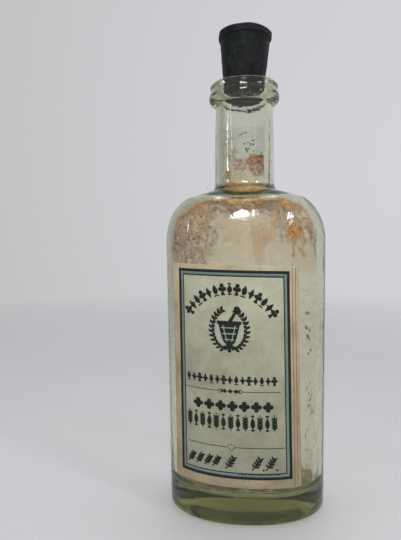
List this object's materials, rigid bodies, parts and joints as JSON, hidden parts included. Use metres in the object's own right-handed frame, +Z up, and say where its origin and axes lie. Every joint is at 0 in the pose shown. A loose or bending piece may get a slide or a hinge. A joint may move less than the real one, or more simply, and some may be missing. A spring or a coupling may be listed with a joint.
{
  "type": "medicine bottle",
  "caption": "Oval glass pharmacy bottle with thick floor, tooled lip, pull-out tapered rubber stopper and a bordered paper label on the front.",
  "frame": {"origin": "centre of the underside of the bottle, on the plane it stands on", "axes": "+Z up along the bottle's axis towards the stopper, -Y out of the labelled front, +X to the viewer's right"},
  "size_m": [0.0462, 0.032, 0.1372],
  "materials": {
    "bottle_glass": "clear old glass with a faint olive tint, residue inside",
    "black_rubber": "matt aged rubber",
    "label_paper": "matt printed paper, yellowed"
  },
  "bodies": {
    "bottle": {"glass_bottle": "bottle_glass", "front_label": "label_paper"},
    "stopper": {"rubber_stopper": "black_rubber"}
  },
  "joints": [
    {"name": "stopper_lift", "type": "slide", "parent": "bottle", "child": "stopper", "axis": [0, 0, 1], "range_m": [0, 0.025]}
  ]
}
